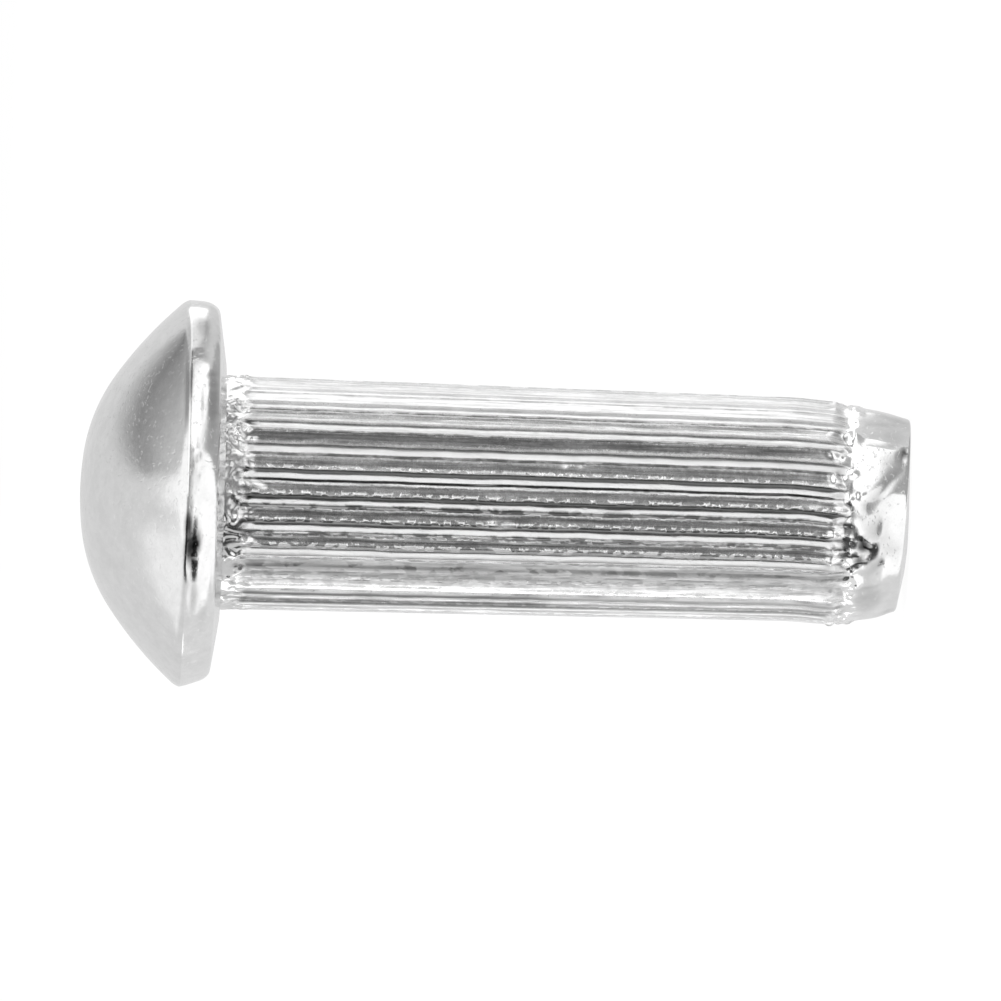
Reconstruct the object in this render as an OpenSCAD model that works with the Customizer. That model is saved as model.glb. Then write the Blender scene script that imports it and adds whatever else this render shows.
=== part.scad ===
// Knurled shank rivet: a solid rivet, cold headed and rolled from one wire, that is driven
// into a plain drilled hole and held there by its knurl.
// The axis is Z. The origin is at the middle of the ring under the head that bears on the
// work. The head is above it, and the shank hangs below it and ends in a plain pilot.

/* [Head] */
// Diameter of the head at its widest
head_d = 9.03; // [8.6:0.01:9.3]
// Height of the head above its bearing ring
head_h = 3.3; // [3.25:0.05:3.5]
// Radius of the flattened crown, across the head's top
crown_r = 7.2; // [6:0.1:9]
// Radius of the long flank between the crown's shoulder and the edge
flank_r = 9.3; // [8:0.1:11]
// Radius of the edge that the flank turns over
edge_r = 0.47; // [0.3:0.01:0.7]
// Radius of the rim band below that edge
rim_r = 0.75; // [0.6:0.01:0.9]
// Radius of the rim's lower corner
lip_r = 0.25; // [0.1:0.01:0.3]
// Outer diameter of the flat bearing ring under the head
seat_d = 6.1; // [5.8:0.05:6.5]

/* [Shank] */
// Length under the head
shank_l = 15.95; // [12:0.05:20]
// Diameter of the shank at the head, over the knurl
knurl_head_d = 5.44; // [5.3:0.01:5.6]
// Diameter over the knurl at the pilot
knurl_tail_d = 5.2; // [5.15:0.01:5.3]
// Length of the plain collar between head and knurl
collar_l = 0.2; // [0.1:0.05:0.5]

/* [Knurl] */
// Number of teeth round the shank
teeth = 27; // [20:1:30]
// Depth of each groove
groove_depth = 0.12; // [0.1:0.01:0.2]
// Angle between a groove's two flanks
groove_angle = 90; // [60:1:100]
// Length over which a groove runs out below the collar
runout_l = 0.4; // [0.2:0.05:0.8]

/* [Pilot] */
// Diameter of the plain pilot that enters the hole first
pilot_d = 5; // [4.8:0.01:5.1]
// Length of the pilot, from the end of the knurl's chamfer to the tail
pilot_l = 1.4; // [1.3:0.05:2]
// Length of the chamfer that ends the knurl
chamfer_l = 0.4; // [0.3:0.05:0.6]
// Radius of the long curve that draws the pilot in
pilot_curve_r = 2; // [1.5:0.1:3]
// Radius of the corner at the tail
tail_corner_r = 0.3; // [0.2:0.01:0.4]
// Diameter of the flat on the tail, which the rivet can stand on
tail_flat_d = 3.4; // [3:0.1:3.6]

/* [Hidden] */
$fn = 96;

// Largest turn, in degrees, between two points of an outline
arc_step = 4;

// Angles of the outline's normal, from +Z towards +X, where one curve hands over to the next
crown_end = 6.8;
shoulder_end = 34.4;
flank_end = 48.4;
edge_end = 90;
rim_end = 130;
lip_end = 171.5;
pilot_curve_end = 114;
tail_corner_end = 162;

// The shoulder takes the radius that brings the head out to its full diameter
shoulder_reach = head_d / 2 - crown_r * sin(crown_end)
    - flank_r * (sin(flank_end) - sin(shoulder_end)) - edge_r * (1 - sin(flank_end));
shoulder_r = shoulder_reach / (sin(shoulder_end) - sin(crown_end));

// Levels down the shank
chamfer_z = -(shank_l - pilot_l - chamfer_l);
pilot_z = chamfer_z - chamfer_l;

// Length of the pilot that is straight, before its curve begins
pilot_straight_l = 0.3;

// How far a groove's floor is from the axis at the head and at the pilot
floor_head_r = knurl_head_d / 2 - groove_depth;
floor_tail_r = knurl_tail_d / 2 - groove_depth;

// How far a cutter stands out past the tops of the teeth
cutter_spare = 0.3;

// How far the two ends of a groove's floor rise clear of the surface that they run out of
clear_r = 0.05;

// The floor turns up this much above the chamfer, so its bend stays off the chamfer's edge
rise_lead = 0.15;

// A unit step in the plane of the outline, a degrees from +Z towards +X
function heading(a) = [sin(a), cos(a)];

// Points along a chain of arcs that join smoothly. It leaves the point start, where the
// outline's normal is at a degrees, and each entry of arcs is [radius, normal at its end].
function chain(start, a, arcs, i = 0) =
    i == len(arcs) ? [start] :
    let (
        radius = arcs[i][0],
        turn = arcs[i][1] - a,
        centre = start - radius * heading(a),
        steps = ceil(abs(turn) / arc_step)
    )
    concat(
        [for (k = [0:steps - 1]) centre + radius * heading(a + turn * k / steps)],
        chain(centre + radius * heading(a + turn), a + turn, arcs, i + 1)
    );

// Outline of the head, from its top over crown, shoulder, flank and edge to the rim's lip
function head_outline() = chain([0, head_h], 0, [
    [crown_r, crown_end], [shoulder_r, shoulder_end], [flank_r, flank_end],
    [edge_r, edge_end], [rim_r, rim_end], [lip_r, lip_end]
]);

// Outline of the tail, from the pilot's straight part to the start of its end face
function tail_outline() = chain([pilot_d / 2, pilot_z - pilot_straight_l], 90, [
    [pilot_curve_r, pilot_curve_end], [tail_corner_r, tail_corner_end]
]);

// The rivet before knurling: head, bearing ring, collar, tapered shank, chamfer and pilot
module blank() {
    rotate_extrude()
        polygon(concat(
            head_outline(),
            [
                [seat_d / 2, 0],
                [knurl_head_d / 2, 0],
                [knurl_tail_d / 2, chamfer_z],
                [pilot_d / 2, pilot_z]
            ],
            tail_outline(),
            [[tail_flat_d / 2, -shank_l], [0, -shank_l]]
        ));
}

// One groove's cutter, a V whose floor deepens below the collar, follows the taper and rises
// again at the pilot. Each station is [height, distance of the floor from the axis].
module groove() {
    outer_r = knurl_head_d / 2 + cutter_spare;
    head_rise = clear_r * runout_l / groove_depth;
    stations = [
        [-collar_l + head_rise, knurl_head_d / 2 + clear_r],
        [-collar_l - runout_l, floor_head_r],
        [chamfer_z + rise_lead, floor_tail_r],
        [pilot_z - pilot_straight_l, pilot_d / 2 + clear_r]
    ];
    last = 3 * (len(stations) - 1);
    polyhedron(
        points = [
            for (s = stations)
                let (half_w = (outer_r - s.y) * tan(groove_angle / 2))
                each [[s.y, 0, s.x], [outer_r, -half_w, s.x], [outer_r, half_w, s.x]]
        ],
        faces = [
            [0, 2, 1],
            [last, last + 1, last + 2],
            for (i = [0:3:last - 3], k = [0:2])
                let (next = (k + 1) % 3)
                [i + k, i + next, i + next + 3, i + k + 3]
        ]
    );
}

module rivet() {
    color([0.80, 0.80, 0.81])
        difference() {
            blank();
            for (tooth = [0:teeth - 1])
                rotate(tooth * 360 / teeth)
                    groove();
        }
}

rivet();
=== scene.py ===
import math

import bpy
import numpy as np
from mathutils import Matrix, Vector


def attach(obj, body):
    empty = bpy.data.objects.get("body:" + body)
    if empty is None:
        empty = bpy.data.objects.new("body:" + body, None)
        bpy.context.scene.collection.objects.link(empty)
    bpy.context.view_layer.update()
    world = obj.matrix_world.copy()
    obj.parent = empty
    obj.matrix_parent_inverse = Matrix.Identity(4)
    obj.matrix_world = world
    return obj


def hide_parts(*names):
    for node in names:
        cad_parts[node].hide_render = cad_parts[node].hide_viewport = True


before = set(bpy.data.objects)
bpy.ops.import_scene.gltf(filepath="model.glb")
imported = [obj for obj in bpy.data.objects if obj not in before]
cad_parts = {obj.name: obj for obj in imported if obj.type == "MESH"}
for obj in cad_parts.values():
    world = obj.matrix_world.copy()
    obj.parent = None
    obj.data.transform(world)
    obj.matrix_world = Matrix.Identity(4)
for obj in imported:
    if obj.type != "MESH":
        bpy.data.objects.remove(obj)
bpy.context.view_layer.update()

# The looks of a knurled shank rivet: one closed mesh with its rolled teeth, burrs and dents, a
# plated steel material, a pale floor, a studio of soft zones and the camera.
# Shapes are worked out in millimetres and degrees, and MM turns them into metres.

MM = 0.001
SEED = 7

# Driving sizes of the rivet. They are the solid's, but the rim band and the pilot are flatter.
HEAD_D = 9.03
HEAD_H = 3.3
CROWN_R = 7.2
FLANK_R = 9.3
EDGE_R = 0.47
RIM_R = 2.7
RIM_FOOT_R = 0.54
LIP_R = 0.25
SEAT_D = 6.1
SHANK_L = 15.95
KNURL_HEAD_D = 5.44
KNURL_TAIL_D = 5.2
PILOT_D = 5.0
PILOT_L = 1.4
CHAMFER_L = 0.4
PILOT_CURVE_R = 7.0
TAIL_CORNER_R = 0.08
TAIL_FLAT_D = 3.4
TEETH = 27

# Angles of the outline's normal, from +Z outwards, where one curve hands over to the next
CROWN_END = 6.8
SHOULDER_END = 34.4
FLANK_END = 48.4
EDGE_END = 74.0
RIM_START = 97.0
RIM_END = 106.0
RIM_FOOT_END = 130.0
LIP_END = 171.5
PILOT_START = 95.0
PILOT_CURVE_END = 106.0
TAIL_CORNER_END = 176.0

# Width of the line pressed between dome and rim, and the drop from the last row of the teeth to
# the first row of the pilot
CREASE_W = 0.01
PILOT_LEAD = 0.02

# Levels down the shank
CHAMFER_Z = -(SHANK_L - PILOT_L - CHAMFER_L)
PILOT_Z = CHAMFER_Z - CHAMFER_L

# Degrees from one groove to the next
PITCH = 360 / TEETH

# Lengths between the points of an outline, from the smooth dome to the tight tail corner
DOME_STEP = 0.12
EDGE_STEP = 0.06
RIM_STEP = 0.045
LIP_STEP = 0.04
PILOT_STEP = 0.06
CORNER_STEP = 0.03

# Rows of points from the rim's lip in to the bearing ring, and the radii of those on the end face
SEAT_ROWS = 6
TAIL_RADII = (2.0, TAIL_FLAT_D / 2, 1.4, 1.0, 0.5)

# Rows of points down the shank: close ones at the head, wider ones, and close ones at the pilot
HEAD_ROWS = 32
HEAD_ROWS_END = -1.1
MIDDLE_ROWS = 70
TAIL_ROWS = 24
TAIL_ROWS_START = CHAMFER_Z + 0.4

# The end face is knocked back by this much at its rim towards -X, between these distances from
# the axis, and the pilot's side follows it over this height
BEVEL = 0.24
BEVEL_FROM = 0.9
BEVEL_TO = 2.6
BEVEL_H = 0.8

# The camera: its place in degrees round from -Y towards +X and up, its roll, the width that it
# sees, the height on the axis that it aims at, and its sensor
CAMERA_DISTANCE = 700.0
CAMERA_AZIMUTH = -1.0
CAMERA_ELEVATION = 1.75
CAMERA_ROLL = 1.7047
FRAME_W = 23.28
AIM_Z = -6.48
SENSOR_W = 36.0
CLIP_NEAR = 10.0
CLIP_FAR = 10000.0


def sind(a):
    """Sine of an angle in degrees."""
    return np.sin(np.radians(a))


def cosd(a):
    """Cosine of an angle in degrees."""
    return np.cos(np.radians(a))


def smooth(x, low, high):
    """0 below low, 1 above high and an S between them."""
    t = np.clip((x - low) / (high - low), 0, 1)
    return t * t * (3 - 2 * t)


def hump(x, centre, width):
    """A bell of height 1 that has died away one width from its centre."""
    t = np.clip(np.abs(x - centre) / width, 0, 1)
    return (1 - t * t) ** 2


def turn(a, b):
    """The signed angle from b to a, between -180 and 180 degrees."""
    return (a - b + 180) % 360 - 180


# ---------------------------------------------------------------- outline

def arc_points(start, a, radius, end, step):
    """Points along an arc, each with the angle of its normal. The arc leaves start with its
    normal at a degrees from +Z and goes on to the normal end. Start itself is left out."""
    centre = np.array([start[0] - radius * sind(a), start[1] - radius * cosd(a)])
    count = max(2, int(np.ceil(radius * np.radians(abs(end - a)) / step)))
    angles = a + (end - a) * np.arange(1, count + 1) / count
    points = centre + radius * np.stack([sind(angles), cosd(angles)], axis=1)
    return [(p[0], p[1], n) for p, n in zip(points, angles)]


def shoulder_radius():
    """The radius that brings the head out to its full diameter."""
    reach = (HEAD_D / 2 - CROWN_R * sind(CROWN_END)
             - FLANK_R * (sind(FLANK_END) - sind(SHOULDER_END))
             - EDGE_R * (1 - sind(FLANK_END)))
    return reach / (sind(SHOULDER_END) - sind(CROWN_END))


def head_outline():
    """(distance from the axis, height, normal angle) from near the top to the bearing ring.
    A crease parts the pressed dome from the rim."""
    arcs = [
        (CROWN_R, CROWN_END, DOME_STEP), (shoulder_radius(), SHOULDER_END, DOME_STEP),
        (FLANK_R, FLANK_END, DOME_STEP), (EDGE_R, EDGE_END, EDGE_STEP),
        (RIM_R, RIM_END, RIM_STEP), (RIM_FOOT_R, RIM_FOOT_END, RIM_STEP),
        (LIP_R, LIP_END, LIP_STEP)
    ]
    rows = [(0.0, HEAD_H, 0.0)]
    for radius, end, step in arcs:
        r, z, a = rows[-1]
        if end == RIM_END:
            z -= CREASE_W
            a = RIM_START
            rows.append((r, z, a))
        rows += arc_points((r, z), a, radius, end, step)
    r, z, a = rows[-1]
    for k in range(1, SEAT_ROWS + 1):
        t = k / SEAT_ROWS
        rows.append((r + (SEAT_D / 2 - r) * t, z * (1 - t), LIP_END))
    return rows[1:]


def shank_levels():
    """Heights of the rows from just below the bearing ring to the end of the teeth."""
    head_end = np.linspace(0, HEAD_ROWS_END, HEAD_ROWS)
    middle = np.linspace(HEAD_ROWS_END, TAIL_ROWS_START, MIDDLE_ROWS)[1:]
    tail_end = np.linspace(TAIL_ROWS_START, PILOT_Z, TAIL_ROWS)[1:]
    return np.concatenate([head_end, middle, tail_end])


def tail_outline():
    """(distance from the axis, height, normal angle) from the pilot's top to the end face."""
    rows = [(PILOT_D / 2, PILOT_Z - PILOT_LEAD, PILOT_START)]
    rows += arc_points(rows[-1][:2], PILOT_START, PILOT_CURVE_R, PILOT_CURVE_END, PILOT_STEP)
    rows += arc_points(rows[-1][:2], PILOT_CURVE_END, TAIL_CORNER_R, TAIL_CORNER_END, CORNER_STEP)
    rows += [(r, -SHANK_L, 180.0) for r in TAIL_RADII]
    return rows


def tail_bevel(psi, r, z):
    """How far up the end face is knocked, and the pilot's side with it."""
    side = (1 - cosd(psi)) / 2
    low = smooth(-z, SHANK_L - BEVEL_H, SHANK_L)
    return BEVEL * side * smooth(r, BEVEL_FROM, BEVEL_TO) * low


# ---------------------------------------------------------------- relief

# One pitch of the knurl, as (degrees past the groove's middle, height over the crest in mm,
# finish, roughness, tone, burr, seam). The degrees count towards -X on the camera's side.
# Finish is 1 where the drawn wire's long smooth streaks are left, and 0 where the knurling
# wheel pressed the metal. Tone is how bright the plate is: the low tones from -0.6 to -1.6
# degrees are painted shade on one wall of the groove, the low tones at the seam painted shade
# in its fold, and the near-white tones from 0.2 to 2.6 degrees painted light on the other wall.
# Burr says where beads are rolled up, painted bright as glints, and seam where the metal is
# folded over, with painted shade in dark dashes.
TOOTH = [
    (8.0, -0.046, 1.0, 0.24, 0.78, 0.0, 0.0), (7.0, -0.047, 1.0, 0.24, 0.80, 0.0, 0.0),
    (6.0, -0.044, 0.9, 0.24, 0.86, 0.0, 0.0), (5.3, -0.040, 0.5, 0.30, 0.95, 0.4, 0.0),
    (4.8, -0.043, 0.4, 0.30, 0.95, 0.5, 0.0), (4.3, -0.041, 0.4, 0.22, 0.70, 0.0, 0.5),
    (3.8, -0.028, 0.2, 0.16, 0.38, 0.0, 1.0), (3.4, -0.012, 0.2, 0.16, 0.42, 0.0, 0.6),
    (3.0, -0.004, 0.1, 0.24, 0.90, 0.0, 0.0), (2.6, -0.005, 0.0, 0.34, 0.98, 0.0, 0.0),
    (1.8, -0.022, 0.0, 0.34, 0.98, 0.0, 0.0), (1.0, -0.044, 0.0, 0.34, 0.98, 0.0, 0.0),
    (0.2, -0.067, 0.0, 0.34, 0.98, 0.0, 0.0), (-0.6, -0.093, 0.0, 0.30, 0.40, 0.0, 0.0),
    (-0.9, -0.050, 0.0, 0.15, 0.13, 0.0, 0.0), (-1.2, -0.016, 0.0, 0.14, 0.13, 0.0, 0.0),
    (-1.6, -0.005, 0.0, 0.14, 0.18, 0.0, 0.0), (-2.1, 0.000, 0.4, 0.20, 0.55, 0.4, 0.0),
    (-2.8, -0.005, 1.0, 0.26, 0.92, 1.0, 0.0), (-4.2, -0.023, 1.0, 0.26, 0.80, 0.1, 0.0),
]
TOOTH_D, TOOTH_H, TOOTH_FINISH, TOOTH_ROUGH, TOOTH_TONE, TOOTH_BURR, TOOTH_SEAM = (
    np.array(TOOTH).T)
COLUMNS = len(TOOTH)

# How much of the burr's sideways shift each place takes
BURR_SHIFT = np.interp(-TOOTH_D, (1.6, 2.1, 2.8, 4.2), (0, 1, 1, 0.4))

# Degrees from a groove's middle to where its walls end and the lands begin, and the degrees over
# which the drawn streaks come on
WALL_REACH = 4.0
STREAKS_FROM = 2.0
STREAKS_FULL = 3.6

# Going down the camera's side, a land's lower edge turns pale over these degrees round. Above
# them the drawn streaks reach it, and this share of the burr is missing.
PALE_FROM = -17
PALE_FULL = -10
BURR_MISSING = 0.8

# Roughness and tone of the rest of the rivet
DOME_ROUGH = 0.12
DOME_TONE = 0.79
RIM_ROUGH = 0.13
PILOT_ROUGH = 0.11
PLATE_TONE = 0.84
COLLAR_TONE = 0.72

# Above this height the shank's plain places look like the collar, and this far below the head
# the knurl starts to look like the pilot
COLLAR_END = -1.5
PILOT_PLATE_START = -CHAMFER_Z + 0.15

# Distance below the head where a groove starts and where it is full, how far that differs from
# groove to groove and by how much of that for each degree across one. Then where a groove has
# run out, how far the ends of the teeth differ, and in which waves: (share, number round)
GROOVE_TOP = 0.25
GROOVE_FULL = 0.62
GROOVE_SPREAD = 0.14
GROOVE_SLANT = 0.4
RUNOUT_END = -PILOT_Z + 0.1
RUNOUT_SPREAD = 0.12
RAGGED_WAVES = ((0.6, 13), (0.4, 29))

# A groove's slow waves: sideways in degrees, lip and seam in mm, and the share of its depth
SWAY = 0.2
LIP_WAVE = 0.006
SEAM_WAVE = 0.005
DEPTH_WAVE = 0.12

# Degrees past a groove's middle where its lip and its seam are, and how wide both are
LIP_D = -3.2
SEAM_D = 5.0
RIDGE_W = 1.6

# The crushed metal below the head ends at one height, and that at the pilot starts at another.
# Under the bearing ring it comes on over a short lead, and none stands past the largest radius.
COLLAR_LUMPS_END = -0.95
COLLAR_LEAD = 0.06
CHAMFER_LUMPS_START = CHAMFER_Z + 0.3
LARGEST_R = KNURL_HEAD_D / 2 + 0.03

# How the grooves differ round the shank. Each row is a place in degrees round from the camera's
# side towards -X, the burr's sideways shift in degrees, the share of the relief that is there,
# and the shares of the walls and of the lands that keep the knurl's own values; the rest takes
# a pale plate painted in as light. The names are its columns.
BURR_SIDEWAYS = 1
RELIEF_SHARE = 2
WALLS_KEPT = 3
LANDS_KEPT = 4
GROOVE_TRIM = np.array([
    (-180.0, 0.0, 1.0, 1.0, 1.0), (-104.3, 0.0, 1.0, 1.0, 1.0), (-91.0, 0.0, 0.7, 0.6, 0.6),
    (-77.7, 0.0, 0.4, 0.15, 0.15), (-64.3, 0.0, 0.35, 0.2, 0.2), (-51.0, 0.0, 0.45, 0.45, 0.95),
    (-37.7, 0.0, 0.42, 0.62, 1.0), (-24.3, 0.0, 0.55, 0.6, 1.0), (-11.0, 0.2, 0.85, 0.95, 1.0),
    (2.3, -0.3, 1.0, 1.0, 1.0), (15.7, -0.8, 1.1, 0.9, 1.0), (29.0, -1.0, 1.1, 0.8, 1.0),
    (42.3, 0.0, 0.3, 0.3, 0.3), (52.0, 0.0, 0.3, 0.3, 0.3), (55.7, 0.0, 0.9, 0.7, 0.7),
    (69.0, 0.0, 1.0, 0.6, 0.6), (82.3, 0.0, 1.0, 0.6, 0.6), (95.7, 0.0, 1.0, 1.0, 1.0),
    (180.0, 0.0, 1.0, 1.0, 1.0)
])

# Painted shade and light by height: how much darker a hollow is painted and how much brighter
# a swelling, for each mm of height, and the darkest and brightest tone
SHADE_BY_HEIGHT = 11.0
DARKEST = 0.2
BRIGHTEST = 0.95

# How far the dome sits off the shank's axis, and the pilot too, both towards -X, and the
# heights over which the rim and the shank lead into them
DOME_OFFSET = 0.05
DOME_OFFSET_START = 0.4
DOME_OFFSET_FULL = 0.9
PILOT_OFFSET = 0.07
PILOT_OFFSET_START = 13.0

# Angles of the normal between which the pilot's dents die away onto the end face
DENTS_FROM = 150
DENTS_TO = 175


def around(psi):
    """Degrees round from the camera's side, towards -X."""
    return turn(CAMERA_AZIMUTH - 90, psi)


def trim(psi, column):
    """One of the columns of GROOVE_TRIM, read off between its places."""
    return np.interp(around(psi), GROOVE_TRIM[:, 0], GROOVE_TRIM[:, column])


def crest_radius(z):
    """Distance from the axis to the tops of the teeth at height z, down to the pilot."""
    t = np.clip(z / CHAMFER_Z, 0, 1)
    r = KNURL_HEAD_D / 2 + (KNURL_TAIL_D - KNURL_HEAD_D) / 2 * t
    down = np.clip((CHAMFER_Z - z) / CHAMFER_L, 0, 1)
    return r - (KNURL_TAIL_D - PILOT_D) / 2 * down * down * (2 - down)


def ragged_end(psi):
    """How far before the pilot the teeth end, which goes up and down round the shank."""
    waves = sum(share * sind(number * psi) for share, number in RAGGED_WAVES)
    return RUNOUT_SPREAD * (1 + waves)


def wander(rng, count, lengths):
    """For each of count lines a slow random curve along z, within about -1 to 1."""
    phase = rng.uniform(0, 2 * math.pi, (count, len(lengths)))
    weight = rng.uniform(0.5, 1.0, (count, len(lengths)))

    def curve(line, z):
        """The value of one line's curve, or of each in an array of lines, at height z."""
        total = 0.0
        for k, length in enumerate(lengths):
            total += weight[line, k] * np.sin(2 * math.pi * z / length + phase[line, k])
        return total / len(lengths) ** 0.5
    return curve


def lumps(rng, count, z_range, long, wide, height, lean):
    """Small random swellings all round, each as (psi, z, half length, half width, height, lean
    in degrees)."""
    return [
        (rng.uniform(0, 360), rng.uniform(*z_range), rng.uniform(*long),
         rng.uniform(*wide), rng.uniform(*height), rng.uniform(*lean) * rng.choice((-1, 1)))
        for _ in range(count)
    ]


def lump_relief(made, psi, z, radius):
    """Height of the swellings at places on a surface that is radius away from the axis."""
    total = np.zeros(np.shape(psi))
    for psi0, z0, long, wide, height, lean in made:
        a = np.radians(turn(psi, psi0)) * radius
        b = z - z0
        u = a * cosd(lean) + b * sind(lean)
        v = -a * sind(lean) + b * cosd(lean)
        total += height * np.exp(-(u / wide) ** 2 - (v / long) ** 2)
    return total


# Marks on the camera's side: (degrees round towards -X, height z, half length, half width, how
# far it stands out, lean of its length from the axis in degrees). One on the shank is left out
# of the rows that are more than this many half lengths away.
MARK_REACH = 3
RIM_MARKS = [
    (-50, 0.72, 0.08, 0.05, 0.010, 10), (-47, 0.66, 0.09, 0.04, -0.010, 20),
    (-14, 0.75, 0.06, 0.12, 0.010, 5), (-11, 0.66, 0.06, 0.10, -0.012, 15),
    (-8, 0.74, 0.06, 0.09, 0.012, -10), (-5, 0.66, 0.05, 0.08, -0.012, 0),
    (-2, 0.74, 0.05, 0.10, -0.008, 0), (4, 0.72, 0.05, 0.12, 0.008, 0),
    (10, 0.74, 0.07, 0.18, -0.026, 0), (13, 0.66, 0.08, 0.10, 0.022, 25),
    (16, 0.74, 0.08, 0.14, -0.035, -20), (19, 0.62, 0.07, 0.09, 0.024, 10),
    (21, 0.74, 0.09, 0.14, -0.034, 15), (23, 0.62, 0.05, 0.06, 0.026, 0),
    (25, 0.72, 0.08, 0.12, -0.026, 0), (-22, 0.30, 0.10, 0.04, 0.016, 15),
    (-19, 0.26, 0.10, 0.04, 0.016, 5), (56, 0.62, 0.12, 0.04, 0.010, 5),
    (62, 0.58, 0.10, 0.04, 0.010, -5), (-30, 0.56, 0.05, 0.5, -0.008, 0),
    (-38, 0.40, 0.16, 0.05, -0.014, 35), (-33, 0.34, 0.16, 0.05, 0.010, 40),
    (-28, 0.38, 0.16, 0.05, -0.014, 30), (-25, 0.26, 0.12, 0.05, -0.012, 20),
    (33, 0.72, 0.09, 0.4, -0.014, 0), (40, 0.42, 0.10, 0.2, -0.010, 0),
]
SHANK_MARKS = [
    (-31.8, -8.51, 0.07, 0.06, 0.030, 20), (-18.7, -8.09, 0.08, 0.07, 0.035, 0),
    (-48.2, -7.12, 0.05, 0.05, 0.030, 0), (18.2, -8.84, 0.07, 0.06, 0.035, 0),
    (-6.4, -9.77, 0.06, 0.06, 0.030, 30), (36.8, -8.16, 0.09, 0.07, 0.035, 0),
    (12.4, -6.40, 0.16, 0.10, 0.045, 10), (48.2, -10.4, 0.30, 0.06, 0.035, 0),
    (37.5, -4.30, 0.10, 0.06, 0.035, 20), (50.0, -13.4, 0.25, 0.06, 0.030, 10),
]
PILOT_MARKS = [
    (18, -14.84, 0.14, 0.10, -0.045, -30), (14, -14.92, 0.14, 0.04, 0.035, -40),
    (20, -15.02, 0.12, 0.10, -0.030, 35), (-4, -14.88, 0.10, 0.14, -0.022, 20),
    (-14, -15.28, 0.70, 0.13, -0.020, 50), (-36, -15.76, 0.10, 0.22, -0.022, 0),
    (-41, -15.84, 0.06, 0.07, -0.040, 0), (30, -15.15, 0.40, 0.12, -0.014, 50),
    (-43, -15.10, 0.50, 0.03, -0.014, 0), (44, -15.00, 0.40, 0.05, -0.012, 8),
    (-60, -15.20, 0.60, 0.10, -0.010, 20), (8, -15.30, 0.08, 0.20, 0.012, 0),
]


def placed(marks):
    """The marks as lumps, with each one's angle turned into degrees from +X."""
    return [(CAMERA_AZIMUTH - 90 - mark[0],) + mark[1:] for mark in marks]


class Relief:
    """The rivet's small irregularities, all drawn from one seed."""

    def __init__(self):
        rng = np.random.default_rng(SEED)
        self.shift = wander(rng, TEETH, (9.0, 3.1, 1.3))
        self.depth = wander(rng, TEETH, (7.0, 1.7, 0.8))
        self.lip = wander(rng, TEETH, (1.9, 0.83, 0.47))
        self.seam = wander(rng, TEETH, (2.7, 1.1, 0.61))
        self.start = rng.uniform(-1, 1, TEETH)
        self.slant = rng.uniform(-1, 1, TEETH)
        self.collar = lumps(rng, 360, (-0.6, -0.03), long=(0.08, 0.2), wide=(0.03, 0.055),
                            height=(-0.036, 0.04), lean=(15, 60))
        self.chamfer = lumps(rng, 250, (PILOT_Z - 0.22, CHAMFER_Z + 0.05), long=(0.07, 0.13),
                             wide=(0.06, 0.11), height=(-0.012, 0.07), lean=(0, 40))
        self.rim = lumps(rng, 160, (0.1, 0.75), long=(0.05, 0.12), wide=(0.1, 0.3),
                         height=(-0.004, 0.004), lean=(0, 20))
        self.rim += placed(RIM_MARKS)
        self.pilot = lumps(rng, 60, (-SHANK_L, PILOT_Z - 0.1), long=(0.15, 0.3),
                           wide=(0.15, 0.35), height=(-0.02, 0.012), lean=(0, 45))
        self.pilot += placed(PILOT_MARKS)
        self.shank_marks = placed(SHANK_MARKS)

    def shank(self, tooth, d, height, psi, z):
        """Radius on the shank, and the part of it that is crushed metal, not knurl."""
        fine = height + LIP_WAVE * self.lip(tooth, z) * hump(d, LIP_D, RIDGE_W)
        fine = fine + SEAM_WAVE * self.seam(tooth, z) * hump(d, SEAM_D, RIDGE_W)
        fine = fine * (1 + DEPTH_WAVE * self.depth(tooth, z)) * trim(psi, RELIEF_SHARE)
        down = -z - GROOVE_SPREAD * (self.start[tooth] + GROOVE_SLANT * self.slant[tooth] * d)
        fade_in = smooth(down, GROOVE_TOP, GROOVE_FULL)
        early = ragged_end(psi)
        fade_out = 1 - smooth(early - z, -CHAMFER_Z, RUNOUT_END)
        level = np.max(z)
        near = [mark for mark in self.shank_marks if abs(level - mark[1]) < MARK_REACH * mark[2]]
        crushed = lump_relief(near, psi, z, KNURL_HEAD_D / 2)
        if level > COLLAR_LUMPS_END:
            leaves = lump_relief(self.collar, psi, z, KNURL_HEAD_D / 2)
            crushed += leaves * smooth(-z, 0, COLLAR_LEAD)
        if level < CHAMFER_LUMPS_START:
            crushed += lump_relief(self.chamfer, psi, z, PILOT_D / 2)
        r = crest_radius(z - early) + fade_in * fade_out * fine + crushed
        return np.minimum(r, LARGEST_R), crushed

    def shank_turn(self, tooth, z):
        """Degrees by which a groove wanders sideways."""
        return SWAY * self.shift(tooth, z)


def shift_down(points, amount):
    """Moves points towards -X, the lower side of the camera's picture."""
    az = math.radians(CAMERA_AZIMUTH)
    points[:, 0] -= amount * math.cos(az)
    points[:, 1] -= amount * math.sin(az)
    return points


# ---------------------------------------------------------------- mesh

# Faces that meet at more than this many degrees show a sharp edge
SHARP_ANGLE = 60


def ring(psi, r, z):
    """Points psi degrees round from +X, at the distance r from the axis and the height z."""
    return np.stack([r * cosd(psi), r * sind(psi), np.broadcast_to(z, psi.shape)], axis=1)


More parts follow.
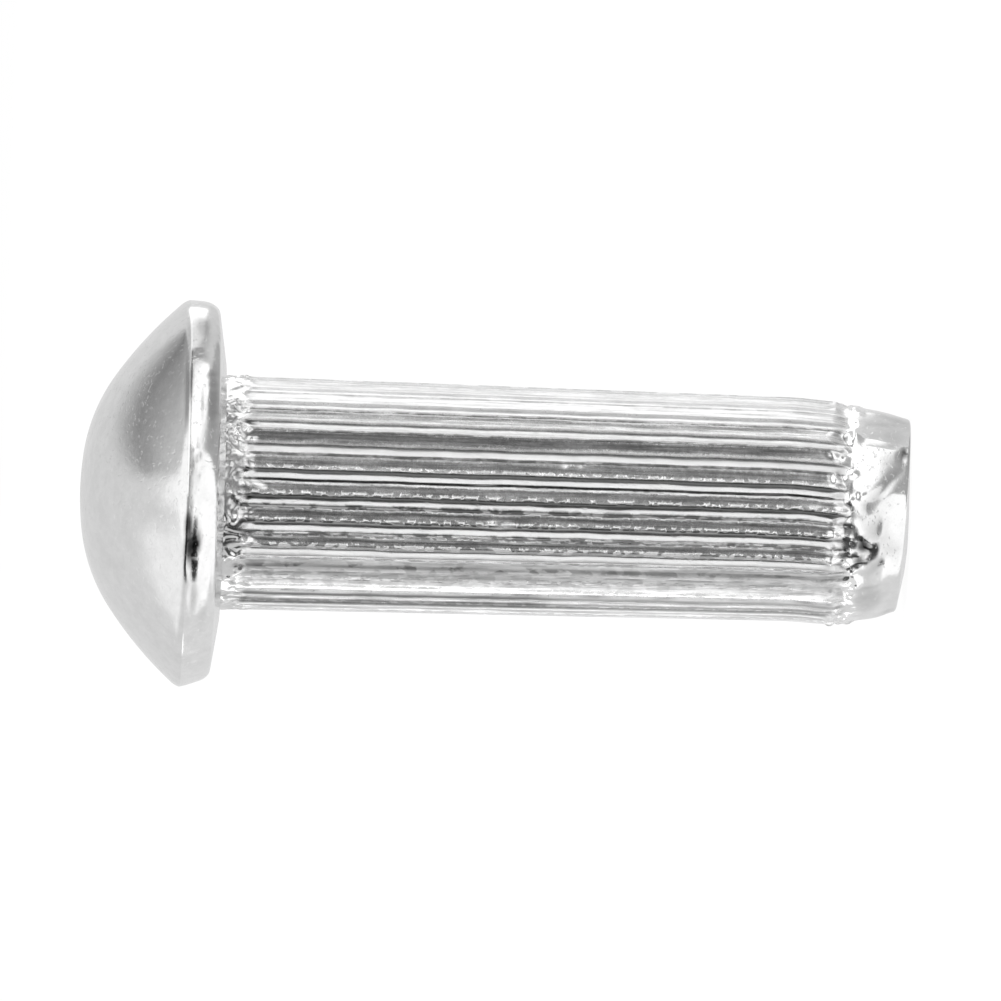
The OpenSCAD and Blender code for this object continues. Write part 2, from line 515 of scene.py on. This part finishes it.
class Surface:
    """Collects rings of points and the faces between them into one closed mesh."""

    def __init__(self, layers):
        self.points = []
        self.layers = {name: [] for name in layers}
        self.faces = []
        self.size = 0

    def add(self, points, **values):
        """Adds a ring and returns the number of its first point."""
        start = self.size
        self.points.append(points)
        for name, rows in self.layers.items():
            rows.append(np.broadcast_to(values.get(name, 0.0), (len(points),)))
        self.size += len(points)
        return start

    def join(self, first, second, count):
        """Quads between two rings of count points."""
        k = np.arange(count)
        n = (k + 1) % count
        self.faces += np.stack([first + k, second + k, second + n, first + n], axis=1).tolist()

    def step(self, few, many, count, widens):
        """Triangles between a ring of count points and a ring of twice as many."""
        for k in range(count):
            a, b = few + k, few + (k + 1) % count
            c, d, e = many + 2 * k, many + 2 * k + 1, many + (2 * k + 2) % (2 * count)
            fan = [(a, c, d), (a, d, b), (d, e, b)]
            self.faces += fan if widens else [face[::-1] for face in fan]

    def cap(self, tip, ring_start, count, top):
        """Triangles between one point and a ring of count points."""
        for k in range(count):
            a, b = ring_start + k, ring_start + (k + 1) % count
            self.faces.append((tip, a, b) if top else (tip, b, a))

    def mesh(self, mesh_name):
        """The finished mesh, with one float layer for each surface value."""
        mesh = bpy.data.meshes.new(mesh_name)
        mesh.from_pydata((np.concatenate(self.points) * MM).tolist(), [], self.faces)
        mesh.update()
        mesh.polygons.foreach_set("use_smooth", [True] * len(mesh.polygons))
        mesh.set_sharp_from_angle(angle=math.radians(SHARP_ANGLE))
        for name, rows in self.layers.items():
            layer = mesh.attributes.new(name, "FLOAT", "POINT")
            layer.data.foreach_set("value", np.concatenate(rows).astype(np.float32))
        return mesh


def plate(rough, tone=PLATE_TONE):
    """The surface values of a part of the rivet that has no knurl."""
    return {"finish": 0.0, "tone": tone, "rough": rough, "streak": 0.0, "burr": 0.0, "seam": 0.0}


# Surface values painted over the knurl as light and shade: a pale plate painted in as light,
# grey and bright bands as painted reflections, dark bands as painted shade, and beads painted
# bright or dashes painted dark along a land
PAINTED_PALE = {"finish": 0.2, "tone": 0.96, "rough": 0.4, "streak": 0.4, "burr": 0.0, "seam": 0.0}
PAINTED_GREY = {"finish": 0.1, "tone": 0.66, "rough": 0.4, "streak": 0.6, "burr": 0.0, "seam": 0.3}
PAINTED_HIGHLIGHT = {"finish": 0.0, "tone": 0.98, "rough": 0.2, "streak": 0.2, "burr": 0.0, "seam": 0.2}
PAINTED_DARK_LINE = {"finish": 0.0, "tone": 0.12, "rough": 0.3, "streak": 0.0, "burr": 0.0, "seam": 0.0}
PAINTED_DARK_BAND = {"finish": 0.3, "tone": 0.07, "rough": 0.3, "streak": 0.3, "burr": 0.1, "seam": 0.0}
PAINTED_DARK_LANDS = {"finish": 1.0, "tone": 0.5, "rough": 0.2, "streak": 1.0, "burr": 0.0, "seam": 0.0}
PAINTED_DARK_DASHES = {"finish": 0.3, "tone": 0.5, "rough": 0.2, "streak": 0.5, "burr": 0.0, "seam": 1.3}
PAINTED_GREY_DASHES = {**PAINTED_GREY, "seam": 0.9}
PAINTED_BRIGHT_DASHES = {**PAINTED_GREY, "tone": 0.8, "burr": 1.2}

# Bands of painted light and shade along the shank: (from, to) in degrees round towards -X,
# softness, strength and values.
# They lose a share of their strength between two distances below the head.
BANDS_FADE = 0.4
BANDS_FADE_START = 6.0
BANDS_FADE_END = 9.0
LIGHT_AND_SHADE_BANDS = [
    ((-32.8, -28.8), 0.8, 0.85, PAINTED_DARK_LANDS), ((-28.8, -25.8), 0.8, 0.5, PAINTED_DARK_LANDS),
    ((4.4, 6.6), 0.5, 0.9, PAINTED_DARK_DASHES), ((18.2, 20.2), 0.5, 0.85, PAINTED_DARK_DASHES),
    ((34.5, 50.0), 1.0, 0.85, PAINTED_GREY), ((36.8, 39.2), 0.5, 0.8, PAINTED_GREY_DASHES),
    ((43.8, 46.6), 0.6, 0.8, PAINTED_BRIGHT_DASHES), ((49.6, 56.8), 0.8, 1.0, PAINTED_HIGHLIGHT),
    ((57.5, 61.0), 0.4, 1.0, PAINTED_DARK_LINE), ((63.8, 70.6), 0.6, 1.0, PAINTED_DARK_BAND),
]


def with_painted_bands(values, psi, z):
    """Surface values with the painted light and shade bands laid over them."""
    a = around(psi)
    fade = 1 - BANDS_FADE * smooth(-z, BANDS_FADE_START, BANDS_FADE_END)
    for (low, high), soft, strength, worn in LIGHT_AND_SHADE_BANDS:
        across = smooth(a, low - soft, low + soft) * (1 - smooth(a, high - soft, high + soft))
        values = blend(values, worn, strength * across * fade)
    return values


# Painted shade on the rim, by its crease and on the pilot: (degrees round towards -X, height z,
# half length, half width, darkness)
SHADE_PATCHES = [
    (9, 0.84, 0.09, 0.32, 0.95), (16, 0.80, 0.13, 0.40, 0.95), (15, 0.65, 0.12, 0.36, 0.8),
    (22, 0.70, 0.07, 0.22, 0.6), (-2, 0.82, 0.05, 0.40, 0.35), (-8, 0.74, 0.07, 0.25, 0.25),
    (-33, 0.95, 0.07, 1.10, 0.5), (-36, 0.87, 0.05, 0.60, 0.7), (-30, 0.36, 0.13, 0.90, 0.30),
    (-56, 0.70, 0.25, 0.95, 0.38), (-60, 0.60, 0.16, 0.40, 0.28), (-44, 0.58, 0.10, 0.22, 0.2),
    (17, -14.84, 0.15, 0.18, 0.85), (25, -14.78, 0.11, 0.14, 0.7),
    (-39, -15.78, 0.09, 0.16, 0.7), (55, -15.02, 0.34, 0.55, 0.25),
]


def with_painted_shade(values, psi, z, radius):
    """Surface values with painted shade: the tone taken down in the dark patches."""
    tone = values["tone"]
    for a, z0, long, wide, dark in SHADE_PATCHES:
        u = np.radians(turn(around(psi), a)) * radius / wide
        v = (z - z0) / long
        tone = tone * (1 - dark * np.exp(-(u * u + v * v) ** 2))
    return {**values, "tone": tone}


def shaded_by_height(values, height):
    """Surface values with painted shade in the hollows and painted light on the swellings: the
    tone shifted by the height of crushed metal.
    """
    return {**values, "tone": np.clip(values["tone"] + SHADE_BY_HEIGHT * height, DARKEST, BRIGHTEST)}


def blend(a, b, t):
    """Surface values a to b by t."""
    return {name: a[name] + (b[name] - a[name]) * t for name in a}


DOME = plate(DOME_ROUGH, DOME_TONE)
RIM = plate(RIM_ROUGH)
COLLAR = plate(RIM_ROUGH, COLLAR_TONE)
PILOT = plate(PILOT_ROUGH)


def knurl_values(psi, d):
    """Surface values of the knurl before the painted pale plate and the painted light and shade
    bands are laid over it.
    """
    drawn = 1 - smooth(around(psi), PALE_FROM, PALE_FULL)
    finish = np.tile(TOOTH_FINISH, TEETH)
    burr = np.tile(TOOTH_BURR, TEETH)
    return {
        "finish": np.where(d > WALL_REACH, np.maximum(finish, drawn), finish),
        "tone": np.tile(TOOTH_TONE, TEETH),
        "rough": np.tile(TOOTH_ROUGH, TEETH),
        "streak": smooth(np.abs(d), STREAKS_FROM, STREAKS_FULL),
        "burr": burr * (1 - BURR_MISSING * drawn),
        "seam": np.tile(TOOTH_SEAM, TEETH)
    }


def add_head(surface, relief, psi):
    """Rings from the top of the dome to the bearing ring. Returns the last one's start."""
    top = shift_down(np.array([[0.0, 0.0, HEAD_H]]), DOME_OFFSET)
    last = surface.add(top, **DOME)
    for k, (r, z, a) in enumerate(head_outline()):
        on_rim = smooth(a, EDGE_END, RIM_START)
        bump = lump_relief(relief.rim, psi, z, HEAD_D / 2) * on_rim
        points = ring(psi, r + bump * sind(a), z + bump * cosd(a))
        points = shift_down(points, DOME_OFFSET * smooth(z, DOME_OFFSET_START, DOME_OFFSET_FULL))
        # Painted shade in the rim's dents and painted light on its swellings
        values = shaded_by_height(blend(DOME, RIM, on_rim), bump)
        # Painted shade patches on the rim and by its crease
        start = surface.add(points, **with_painted_shade(values, psi, z, HEAD_D / 2))
        if k == 0:
            surface.cap(last, start, len(psi), True)
        else:
            surface.join(last, start, len(psi))
        last = start
    return last


def add_shank(surface, relief, last, tooth, d, psi):
    """Rings of the knurled shank, after the ring last, which has half as many points."""
    height = np.tile(TOOTH_H, TEETH)
    burr_shift = np.tile(BURR_SHIFT, TEETH)
    knurl = knurl_values(psi, d)
    for k, z in enumerate(shank_levels()):
        swayed = psi + relief.shank_turn(tooth, z) - trim(psi, BURR_SIDEWAYS) * burr_shift
        r, crushed = relief.shank(tooth, d, height, swayed, np.full(len(psi), z))
        fade_in = smooth(-z, GROOVE_TOP, GROOVE_FULL)
        fade_out = 1 - smooth(-z, PILOT_PLATE_START, -PILOT_Z)
        kept = np.where(np.abs(d) < WALL_REACH, trim(swayed, WALLS_KEPT), trim(swayed, LANDS_KEPT))
        # Painted light: a pale plate where the walls and lands aren't kept, then the painted light
        # and shade bands
        values = with_painted_bands(blend(PAINTED_PALE, knurl, kept), swayed, z)
        off_axis = PILOT_OFFSET * smooth(-z, PILOT_OFFSET_START, -PILOT_Z)
        points = shift_down(ring(swayed, r, z), off_axis)
        plain = COLLAR if z > COLLAR_END else PILOT
        # Painted shade in the crushed metal's hollows and painted light on its swellings
        values = shaded_by_height(blend(plain, values, fade_in * fade_out), crushed)
        start = surface.add(points, **values)
        if k == 0:
            surface.step(last, start, len(psi) // 2, True)
        else:
            surface.join(last, start, len(psi))
        last = start
    return last


def add_tail(surface, relief, last, psi):
    """Rings of the pilot and the end face, after the ring last, which has twice the points."""
    for k, (r, z, a) in enumerate(tail_outline()):
        dented = 1 - smooth(a, DENTS_FROM, DENTS_TO)
        bump = lump_relief(relief.pilot, psi, z, PILOT_D / 2) * dented
        bump += lump_relief(relief.chamfer, psi, z, PILOT_D / 2)
        z = z + tail_bevel(psi, r, z)
        points = ring(psi, r + bump * sind(a), z + bump * cosd(a))
        # Painted shade in the pilot's dents and painted light on its swellings, then painted shade
        # patches
        values = with_painted_shade(shaded_by_height(PILOT, bump), psi, z, PILOT_D / 2)
        start = surface.add(shift_down(points, PILOT_OFFSET), **values)
        if k == 0:
            surface.step(start, last, len(psi), False)
        else:
            surface.join(last, start, len(psi))
        last = start
    tip = surface.add(shift_down(np.array([[0.0, 0.0, -SHANK_L]]), PILOT_OFFSET), **PILOT)
    surface.cap(tip, last, len(psi), False)


def build_mesh():
    """One closed mesh of the rivet: head, bearing ring, knurled shank and pilot."""
    relief = Relief()
    tooth = np.repeat(np.arange(TEETH), COLUMNS)
    d = np.tile(TOOTH_D, TEETH)
    shank_psi = tooth * PITCH - d
    end_psi = shank_psi[::2]
    surface = Surface(DOME)
    last = add_head(surface, relief, end_psi)
    last = add_shank(surface, relief, last, tooth, d, shank_psi)
    add_tail(surface, relief, last, end_psi)
    return surface.mesh("rivet_surface")


# ---------------------------------------------------------------- nodes

WHITE = (1.0, 1.0, 1.0, 1.0)


class Nodes:
    """Short calls for building a node tree."""

    def __init__(self, tree):
        self.tree = tree
        self.tree.nodes.clear()

    def add(self, kind, **settings):
        """A new node with these settings."""
        node = self.tree.nodes.new(kind)
        for name, value in settings.items():
            setattr(node, name, value)
        return node

    def put(self, socket, value):
        """Links a socket to another, or sets it to a plain value."""
        if isinstance(value, bpy.types.NodeSocket):
            self.tree.links.new(value, socket)
        else:
            socket.default_value = value

    def background(self, strength):
        """A white background of this strength."""
        node = self.add("ShaderNodeBackground")
        self.put(node.inputs["Color"], WHITE)
        self.put(node.inputs["Strength"], strength)
        return node.outputs[0]

    def diffuse(self, grey):
        """A matt grey."""
        node = self.add("ShaderNodeBsdfDiffuse")
        self.put(node.inputs["Color"], (grey, grey, grey, 1.0))
        return node.outputs[0]

    def for_camera(self, plain, seen):
        """The plain shader for light and reflections, and the other for what the camera sees."""
        node = self.add("ShaderNodeMixShader")
        self.put(node.inputs[0], self.add("ShaderNodeLightPath").outputs["Is Camera Ray"])
        self.put(node.inputs[1], plain)
        self.put(node.inputs[2], seen)
        return node.outputs[0]

    def math(self, operation, *values):
        """A sum, product or the like of values and sockets."""
        node = self.add("ShaderNodeMath", operation=operation)
        for socket, value in zip(node.inputs, values):
            self.put(socket, value)
        return node.outputs[0]

    def ramp(self, value, from_low, from_high, to_low=0.0, to_high=1.0):
        """An S-shaped step of a value between two levels."""
        node = self.add("ShaderNodeMapRange", interpolation_type="SMOOTHSTEP")
        for socket, x in zip(node.inputs[:5], (value, from_low, from_high, to_low, to_high)):
            self.put(socket, x)
        return node.outputs[0]

    def band(self, value, low, high, soft):
        """1 between low and high and 0 outside, with soft edges."""
        rise = self.ramp(value, low - soft, low + soft)
        fall = self.ramp(value, high - soft, high + soft, 1.0, 0.0)
        return self.math("MULTIPLY", rise, fall)

    def mix(self, factor, a, b):
        """Numbers a to b by factor."""
        node = self.add("ShaderNodeMix", data_type="FLOAT")
        self.put(node.inputs[0], factor)
        self.put(node.inputs[2], a)
        self.put(node.inputs[3], b)
        return node.outputs[0]


# ---------------------------------------------------------------- studio

# Soft zones of the studio's walls, laid one over the other. Each is its name, (from, to) round
# the rivet's axis, where 0 is the camera's side and 90 is +X, (from, to) down from the head's
# end, where 0 is +Z, the softness of its edges and its level.
STUDIO_LEVEL = 0.77
STUDIO_ZONES = [
    ("white_by_the_tail", (-200, 200), (150, 190), 6, 1.2),
    ("grey_card_by_the_tail", (24, 160), (116, 190), 4, 0.42),
    ("softbox", (-2, 88), (60, 112), 3, 1.45),
    ("gap_over_the_camera", (-18, -2), (60, 104), 3, 0.42),
    ("dark_under_the_camera", (-55, -18), (45, 112), 4, 0.06),
    ("low_softbox_by_the_head", (-125, -45), (12, 50), 6, 1.05),
    ("front_softbox_by_the_head", (-45, 45), (0, 58), 6, 1.2),
    ("panel_behind_the_top", (88, 148), (78, 98), 3, 1.6),
    ("grey_panel_above_the_tail", (88, 165), (98, 125), 2, 0.68),
    ("front_softbox_by_the_tail", (-30, 25), (105, 165), 2, 1.2),
    ("grey_gap_by_the_tail", (-25, 26), (99, 107), 2, 0.45),
    ("low_softbox_by_the_tail", (-85, -25), (116, 165), 2, 1.2),
    ("panel_below", (-114, -95), (86, 97), 1.5, 2.4),
    ("slot_between_the_softboxes", (-20, 95), (87.5, 98), 1.5, 0.16),
]

# Two cards by the head, in the same degrees, laid under the zones. The near one gets darker from
# NEAR_CARD_BRIGHT on, and a thin dark line runs along its far edge.
CARDS_DOWN = (8, 60)
CARDS_SOFT = 4
FAR_CARD_ROUND = (60, 145)
FAR_CARD_SOFT = 11
FAR_CARD_LEVEL = 0.31
NEAR_CARD_ROUND = (55, 131)
NEAR_CARD_SOFT = 1.5
NEAR_CARD_BRIGHT = 80
NEAR_CARD_LEVELS = (0.66, 0.34)
EDGE_LINE_ROUND = (130.5, 135)
EDGE_LINE_LEVEL = 0.2


def directions(n):
    """Degrees round the rivet's axis and degrees down from the head's end, in each direction."""
    split = n.add("ShaderNodeSeparateXYZ")
    n.put(split.inputs[0], n.add("ShaderNodeTexCoord").outputs["Generated"])
    x, y, z = split.outputs
    round_axis = n.math("DEGREES", n.math("ARCTAN2", x, n.math("MULTIPLY", y, -1.0)))
    down_axis = n.math("DEGREES", n.math("ARCCOSINE", z))
    return round_axis, down_axis


def studio_level(n):
    """How bright the studio is in each direction."""
    round_axis, down_axis = directions(n)

    def window(across, soft_across, down, soft_down):
        """1 in one window of the studio's walls and 0 outside it."""
        return n.math("MULTIPLY", n.band(round_axis, *across, soft_across),
                      n.band(down_axis, *down, soft_down))

    far = window(FAR_CARD_ROUND, FAR_CARD_SOFT, CARDS_DOWN, CARDS_SOFT)
    level = n.mix(far, STUDIO_LEVEL, FAR_CARD_LEVEL)
    near = window(NEAR_CARD_ROUND, NEAR_CARD_SOFT, CARDS_DOWN, CARDS_SOFT)
    near_level = n.ramp(round_axis, NEAR_CARD_BRIGHT, NEAR_CARD_ROUND[1], *NEAR_CARD_LEVELS)
    level = n.mix(near, level, near_level)
    edge = window(EDGE_LINE_ROUND, NEAR_CARD_SOFT, CARDS_DOWN, CARDS_SOFT)
    level = n.mix(edge, level, EDGE_LINE_LEVEL)
    for name, across, down, soft, zone_level in STUDIO_ZONES:
        mask = window(across, soft, down, soft)
        mask.node.label = name
        level = n.mix(mask, level, zone_level)
    return level


def build_world():
    """The studio lights the rivet and shows in its plate. The camera sees plain white."""
    world = bpy.data.worlds.new("studio")
    world.use_nodes = True
    bpy.context.scene.world = world
    n = Nodes(world.node_tree)
    shown = n.for_camera(n.background(studio_level(n)), n.background(1.0))
    out = n.add("ShaderNodeOutputWorld")
    n.put(out.inputs["Surface"], shown)


# The floor's size in metres, its grey in the light, and what makes it white for the camera: a
# glow, and a thin grey that still takes the rivet's shadow
FLOOR_SIZE = 3.0
FLOOR_GREY = 0.8
FLOOR_GLOW = 0.88
FLOOR_SHADOW_GREY = 0.18


def build_floor():
    """A pale floor under the tail. The camera sees it white, with the rivet's shadow."""
    h = FLOOR_SIZE / 2
    z = -SHANK_L * MM
    mesh = bpy.data.meshes.new("floor")
    mesh.from_pydata([(-h, -h, z), (h, -h, z), (h, h, z), (-h, h, z)], [], [(0, 1, 2, 3)])
    floor = bpy.data.objects.new("floor", mesh)
    bpy.context.scene.collection.objects.link(floor)
    material = bpy.data.materials.new("pale_floor")
    material.use_nodes = True
    n = Nodes(material.node_tree)
    glow = n.add("ShaderNodeEmission")
    n.put(glow.inputs["Strength"], FLOOR_GLOW)
    seen = n.add("ShaderNodeAddShader")
    n.put(seen.inputs[0], n.diffuse(FLOOR_SHADOW_GREY))
    n.put(seen.inputs[1], glow.outputs[0])
    out = n.add("ShaderNodeOutputMaterial")
    n.put(out.inputs["Surface"], n.for_camera(n.diffuse(FLOOR_GREY), seen.outputs[0]))
    mesh.materials.append(material)
    floor.visible_glossy = False
    floor.visible_shadow = False


def build_camera():
    """The camera sees the rivet from the side, lying with its head on the left."""
    az, el = math.radians(CAMERA_AZIMUTH), math.radians(CAMERA_ELEVATION)
    back = Vector((math.sin(az) * math.cos(el), -math.cos(az) * math.cos(el), math.sin(el)))
    across = Vector((math.cos(az), math.sin(az), 0))
    tailward = across.cross(back)
    if tailward.z > 0:
        tailward = -tailward
    roll = math.radians(CAMERA_ROLL)
    right = math.cos(roll) * tailward + math.sin(roll) * across
    up = math.cos(roll) * across - math.sin(roll) * tailward
    place = Vector((0, 0, AIM_Z)) + back * CAMERA_DISTANCE
    data = bpy.data.cameras.new("camera")
    data.sensor_width = SENSOR_W
    data.lens = SENSOR_W * CAMERA_DISTANCE / FRAME_W
    data.clip_start = CLIP_NEAR * MM
    data.clip_end = CLIP_FAR * MM
    camera = bpy.data.objects.new("camera", data)
    camera.matrix_world = Matrix.Translation(place * MM) @ Matrix(
        (right, up, back)).transposed().to_4x4()
    bpy.context.scene.collection.objects.link(camera)
    bpy.context.scene.camera = camera


# ---------------------------------------------------------------- material

# Noises in the plate: features to a millimetre along x, y and z, detail and roughness
STREAKS = ((14, 14, 0.7), 4, 0.5)
GRAIN = ((9, 9, 9), 5, 0.6)
PITS = ((8, 8, 8), 2, 0.5)
CLOUDS = ((2.5, 2.5, 2.5), 6, 0.7)
BEADS = ((7, 7, 5), 1, 0.5)
FOLDS = ((4, 4, 2.6), 3, 0.5)

# The stretch of a noise over which its effect comes on
NOISE_RANGE = (0.3, 0.7)
PITS_RANGE = (0.62, 0.68)
BEADS_RANGE = (0.48, 0.56)
FOLDS_RANGE = (0.46, 0.56)

# What the noises do to tone and roughness, as shares from their low to their high side
STREAK_TONES = (0.58, 1.22)
CLOUD_TONES = (0.95, 1.04)
GRAIN_ROUGH = (0.9, 1.15)

# Tones painted on a burr's beads as glints and on a seam's folds as shade
BEAD_GLINT_TONE = 0.95
FOLD_SHADE_TONE = 0.15

# Height of the streaks in millimetres, and the other heights as shares of it
BUMP_H = 0.004
BEAD_BUMP = 4.0
PIT_BUMP = -0.6
GRAIN_BUMP = 0.4

# How one-sided the plate's blur is, and the turns of its direction on drawn wire and on what a
# tool pressed
ANISOTROPY = 0.85
DRAWN_TURN = 0.0
PRESSED_TURN = 0.25


def plated_steel():
    """Bright plate. Drawn wire blurs light round the axis, and what a tool pressed blurs it
    along the axis. Streaks, beads, folds and pits are in the colour, roughness and bump; the
    beads' bright colour is painted glints and the folds' dark colour painted shade."""
    material = bpy.data.materials.new("plated_steel")
    material.use_nodes = True
    n = Nodes(material.node_tree)
    place = n.add("ShaderNodeTexCoord").outputs["Object"]

    def layer(name):
        """One of the mesh's surface values."""
        return n.add("ShaderNodeAttribute", attribute_name=name).outputs["Fac"]

    def noise(scale, detail, roughness):
        """A noise that is fixed to the rivet."""
        mapping = n.add("ShaderNodeMapping")
        n.put(mapping.inputs["Vector"], place)
        n.put(mapping.inputs["Scale"], tuple(x / MM for x in scale))
        texture = n.add("ShaderNodeTexNoise")
        n.put(texture.inputs["Vector"], mapping.outputs[0])
        n.put(texture.inputs["Scale"], 1.0)
        n.put(texture.inputs["Detail"], detail)
        n.put(texture.inputs["Roughness"], roughness)
        return texture.outputs["Fac"]

    streaks = noise(*STREAKS)
    grain = noise(*GRAIN)
    pits = n.ramp(noise(*PITS), *PITS_RANGE)
    clouds = n.ramp(noise(*CLOUDS), *NOISE_RANGE, *CLOUD_TONES)
    streak = layer("streak")
    beads = n.math("MULTIPLY", layer("burr"), n.ramp(noise(*BEADS), *BEADS_RANGE))
    folds = n.math("MULTIPLY", layer("seam"), n.ramp(noise(*FOLDS), *FOLDS_RANGE))
    finish = n.math("MULTIPLY", layer("finish"), n.math("SUBTRACT", 1.0, beads))
    streaked = n.math("MULTIPLY", layer("tone"), n.ramp(streaks, *NOISE_RANGE, *STREAK_TONES))
    tone = n.mix(streak, layer("tone"), streaked)
    # Painted glints on the beads, then painted shade in the folds
    tone = n.mix(beads, tone, BEAD_GLINT_TONE)
    tone = n.mix(folds, tone, FOLD_SHADE_TONE)
    tone = n.math("MULTIPLY", tone, clouds)
    color = n.add("ShaderNodeCombineColor")
    for socket in color.inputs[:3]:
        n.put(socket, tone)
    rough = n.math("MULTIPLY", layer("rough"), n.ramp(grain, *NOISE_RANGE, *GRAIN_ROUGH))
    bump = n.add("ShaderNodeBump")
    n.put(bump.inputs["Strength"], 1.0)
    n.put(bump.inputs["Distance"], BUMP_H * MM)
    pressed = n.math("MULTIPLY_ADD", pits, PIT_BUMP, n.math("MULTIPLY", grain, GRAIN_BUMP))
    relief = n.math("MULTIPLY_ADD", beads, BEAD_BUMP, n.mix(streak, pressed, streaks))
    n.put(bump.inputs["Height"], relief)
    tangent = n.add("ShaderNodeTangent", direction_type="RADIAL", axis="Z")
    metal = n.add("ShaderNodeBsdfPrincipled")
    n.put(metal.inputs["Base Color"], color.outputs[0])
    n.put(metal.inputs["Metallic"], 1.0)
    n.put(metal.inputs["Roughness"], rough)
    n.put(metal.inputs["Anisotropic"], ANISOTROPY)
    n.put(metal.inputs["Anisotropic Rotation"], n.mix(finish, PRESSED_TURN, DRAWN_TURN))
    n.put(metal.inputs["Tangent"], tangent.outputs[0])
    n.put(metal.inputs["Normal"], bump.outputs[0])
    out = n.add("ShaderNodeOutputMaterial")
    n.put(out.inputs["Surface"], metal.outputs[0])
    return material


def build_rivet():
    """The finished rivet rides the root body and stands in for the solid."""
    rivet = bpy.data.objects.new("rivet_finished", build_mesh())
    bpy.context.scene.collection.objects.link(rivet)
    rivet.data.materials.append(plated_steel())
    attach(rivet, "root")
    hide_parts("rivet")


build_camera()
build_world()
build_floor()
build_rivet()
bpy.context.scene.view_settings.view_transform = "Standard"
